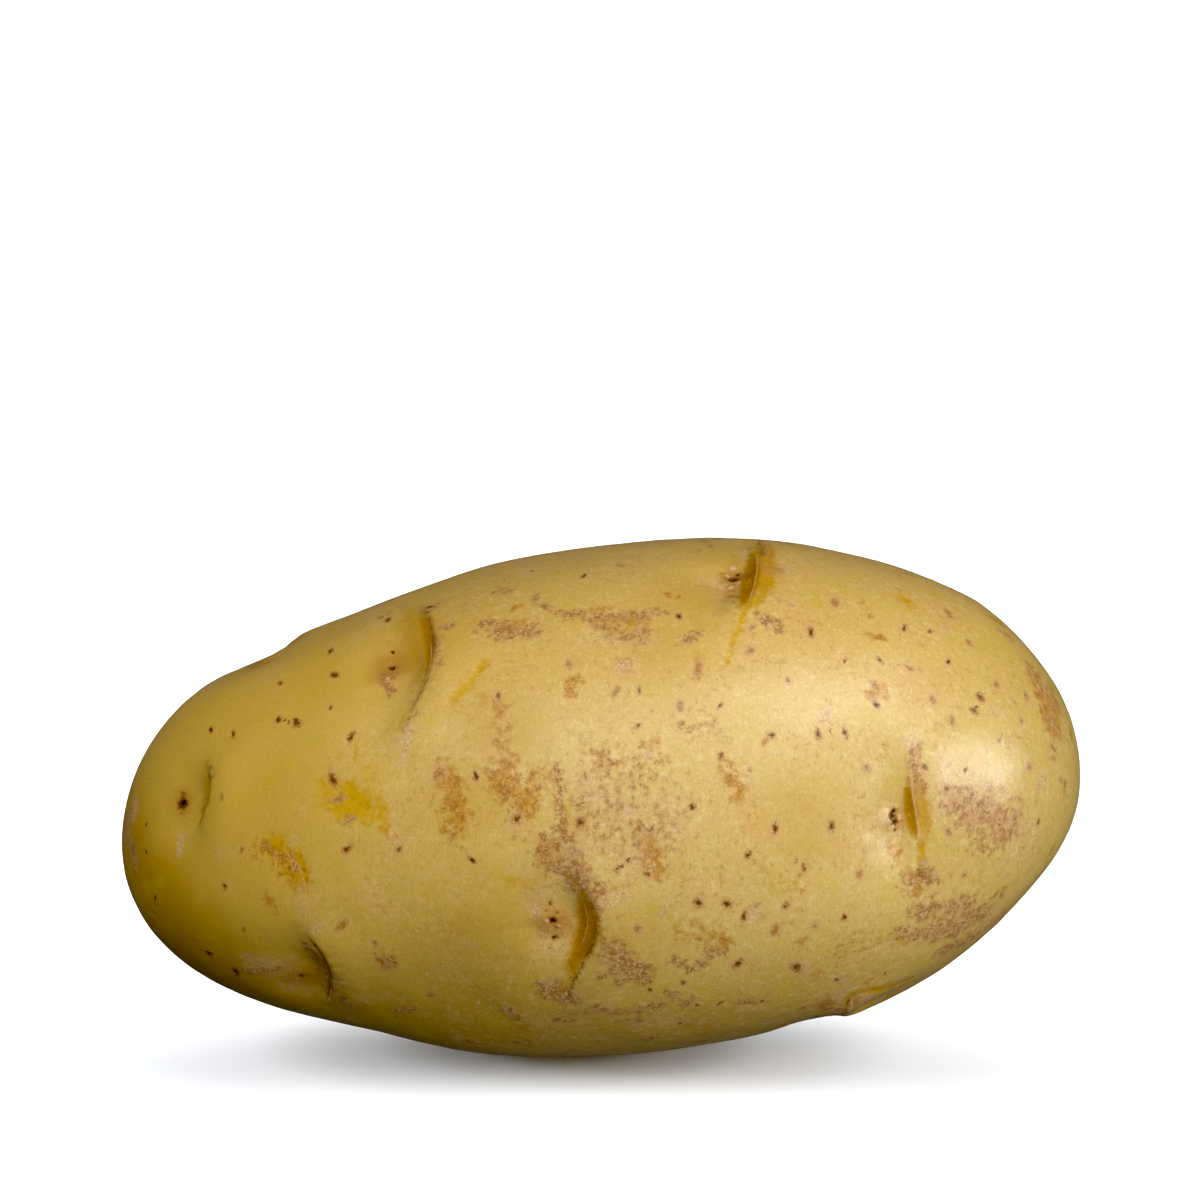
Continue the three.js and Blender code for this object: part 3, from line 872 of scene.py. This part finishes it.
    # pores: a dark corky middle in a faint pinkish halo, or a brown ring
    alongPore, acrossPore, tone = vector("pore")
    away = reckon("SQRT", reckon("ADD", times(alongPore, alongPore), times(acrossPore, acrossPore)))
    away = reckon("ADD", away, reckon("ADD", offset(0.32, 1.2), offset(0.8, 1.0)))
    near = ramp(field("poreNear"), 0.05, 0.3)
    strength = reckon("ABSOLUTE", tone)
    ringed = ramp(tone, -0.2, -0.5)
    colour = over(colour, "#c79e6c", times(ramp(away, 2.2, 1.0), near, reckon("MULTIPLY_ADD", rough, 0.48, 0.14)))
    body = times(ramp(away, 1.35, 0.7), near, strength, ramp(grain[0.33], 0.36, 0.56))
    middle = times(ramp(away, 0.8, 0.2), near, strength)
    colour = over(colour, "#9c6b2c", times(body, 0.85))
    colour = over(colour, "#5a2f08", times(middle, strength, 0.9))
    colour = over(colour, "#bd8a38", times(middle, ringed, 0.9))

    height = reckon("ADD", times(grain[0.8], 0.3), reckon("ADD", times(grain[0.32], 0.25), times(streaks, 0.25)))
    height = reckon("ADD", height, times(cork, grain[0.33], 0.8))
    height = reckon("SUBTRACT", height, times(middle, 0.6))
    bumped = add("Bump", {"Strength": 0.5, "Distance": potatoSkin["bumpHeight"]}, {"Height": height})
    rough = reckon("ADD", times(cork, 0.22), times(grain[2.2], 0.14))
    rough = reckon("ADD", reckon("ADD", rough, times(reckon("MAXIMUM", body, reckon("MAXIMUM", pit, crumb)), 0.3)), potatoSkin["roughness"] - 0.07)
    shader = add("BsdfPrincipled", {
        "IOR": 1.52,
        "Subsurface Weight": 0.2,
        "Subsurface Scale": 1.0 * mm,
        "Subsurface Radius": (1, 0.55, 0.2),
        "Coat Weight": 0.5,
        "Coat Roughness": 0.38,
    }, {"Base Color": colour, "Roughness": rough, "Normal": bumped})
    out = tree.nodes.new("ShaderNodeOutputMaterial")
    tree.links.new(shader, out.inputs["Surface"])
    return made


tuber = bpy.data.objects.new("potatoSkin", skin)
bpy.context.scene.collection.objects.link(tuber)
skin.materials.append(skinMaterial())
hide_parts("potato")
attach(tuber, "root")
print("skin material made")

# A white floor with a light of its own, and soft studio lights on the potato alone. Each light's turn
# is from straight in front towards the right, and its height above the level, in degrees
studio = {
    "floorRadius": 3,
    "floorColour": "#f3f6fb",   # takes the potato's warm light out of the shadow
    "floorSuns": [
        {"turn": 90, "height": 30, "softness": 50, "strength": 2.7},
        {"turn": -90, "height": 30, "softness": 50, "strength": 3.0},
        {"turn": 90, "height": 10, "softness": 30, "strength": 5.5},
        {"turn": -90, "height": 10, "softness": 30, "strength": 5.0},
        {"turn": 180, "height": 40, "softness": 60, "strength": 1.7},
    ],
    "softboxes": {  # these shade the skin
        "key": {"turn": 24, "height": 24, "wide": 0.9, "tall": 0.5, "power": 3.4},
        "side": {"turn": 68, "height": 19, "wide": 0.3, "tall": 0.2, "power": 1.1},
        "upper": {"turn": 40, "height": 52, "wide": 0.3, "tall": 0.25, "power": 0.4},
        "fill": {"turn": -50, "height": 48, "wide": 0.6, "tall": 0.6, "power": 5.4},
        "low": {"turn": 44, "height": 3, "wide": 0.6, "tall": 0.15, "power": 5.9},
        "behindLeft": {"turn": -160, "height": 12, "wide": 0.6, "tall": 0.4, "power": 3.5},
        "behindRight": {"turn": 165, "height": 12, "wide": 0.6, "tall": 0.4, "power": 3.5},
    },
    "sheens": {  # and these show only as the gloss on it
        "sheenRight": {"turn": 72, "height": 9, "wide": 0.4, "tall": 0.35, "power": 3.0},
        "sheenTop": {"turn": 42, "height": 43, "wide": 0.6, "tall": 0.5, "power": 3.2},
        "sheenLeft": {"turn": -12, "height": 40, "wide": 0.7, "tall": 0.5, "power": 1.3},
    },
    "softboxDistance": 1,
    "ambient": 0.14,
    "ambientGloss": 0.06,   # less of it in the gloss, so that the edges stay deep
}


def towards(light):
    turn, height = math.radians(light["turn"]), math.radians(light["height"])
    return Vector((math.sin(turn) * math.cos(height), -math.cos(turn) * math.cos(height), math.sin(height)))


def lightOnly(lamp, *targets):
    # the lamp lights these objects and no others
    group = bpy.data.collections.new(lamp.name + "Targets")
    for target in targets:
        group.objects.link(target)
    lamp.light_linking.receiver_collection = group


def addFloor():
    shape = bmesh.new()
    bmesh.ops.create_circle(shape, cap_ends=True, segments=96, radius=studio["floorRadius"])
    mesh = bpy.data.meshes.new("floor")
    shape.to_mesh(mesh)
    shape.free()
    made = bpy.data.objects.new("floor", mesh)
    bpy.context.scene.collection.objects.link(made)
    paint = bpy.data.materials.new("mattWhiteFloor")
    paint.use_nodes = True
    shader = paint.node_tree.nodes["Principled BSDF"]
    shader.inputs["Base Color"].default_value = linear(studio["floorColour"])
    shader.inputs["Roughness"].default_value = 1
    shader.inputs["Specular IOR Level"].default_value = 0
    mesh.materials.append(paint)
    made.visible_diffuse = False
    made.visible_glossy = False
    return made


def addLamp(name, data, light, target):
    lamp = bpy.data.objects.new(name, data)
    bpy.context.scene.collection.objects.link(lamp)
    way = towards(light)
    lamp.location = Vector(camera["aim"]) + way * studio["softboxDistance"]
    lamp.rotation_euler = (-way).to_track_quat("-Z", "Y").to_euler()
    lightOnly(lamp, target)
    return lamp


floor = addFloor()
for name, box in {**studio["softboxes"], **studio["sheens"]}.items():
    data = bpy.data.lights.new(name, "AREA")
    data.shape = "RECTANGLE"
    data.size, data.size_y = box["wide"], box["tall"]
    data.energy = box["power"]
    lamp = addLamp(name, data, box, tuber)
    lamp.visible_glossy = name in studio["sheens"]
    lamp.visible_diffuse = name in studio["softboxes"]
for order, sun in enumerate(studio["floorSuns"]):
    data = bpy.data.lights.new(f"floorSun{order}", "SUN")
    data.energy = sun["strength"]
    data.angle = math.radians(sun["softness"])
    addLamp(data.name, data, sun, floor)

# White behind everything to the eye, and a dim even light from all round
world = bpy.data.worlds.new("studio")
world.use_nodes = True
bpy.context.scene.world = world
worldNodes, worldLinks = world.node_tree.nodes, world.node_tree.links
backdrop = worldNodes["Background"]
backdrop.inputs["Color"].default_value = linear("#ffffff")
dim = worldNodes.new("ShaderNodeBackground")
dim.inputs["Color"].default_value = linear("#ffffff")
sight = worldNodes.new("ShaderNodeLightPath")
evenLight = worldNodes.new("ShaderNodeMapRange")
evenLight.inputs["To Min"].default_value = studio["ambient"]
evenLight.inputs["To Max"].default_value = studio["ambientGloss"]
worldLinks.new(sight.outputs["Is Glossy Ray"], evenLight.inputs["Value"])
worldLinks.new(evenLight.outputs[0], dim.inputs["Strength"])
both = worldNodes.new("ShaderNodeMixShader")
worldLinks.new(sight.outputs["Is Camera Ray"], both.inputs[0])
worldLinks.new(dim.outputs[0], both.inputs[1])
worldLinks.new(backdrop.outputs[0], both.inputs[2])
worldLinks.new(both.outputs[0], worldNodes["World Output"].inputs["Surface"])
view = bpy.context.scene.view_settings
view.view_transform = "Standard"
view.use_curve_mapping = True
view.curve_mapping.black_level = (0.025, 0.025, 0.025)  # the photograph's deep blacks
print("studio set")
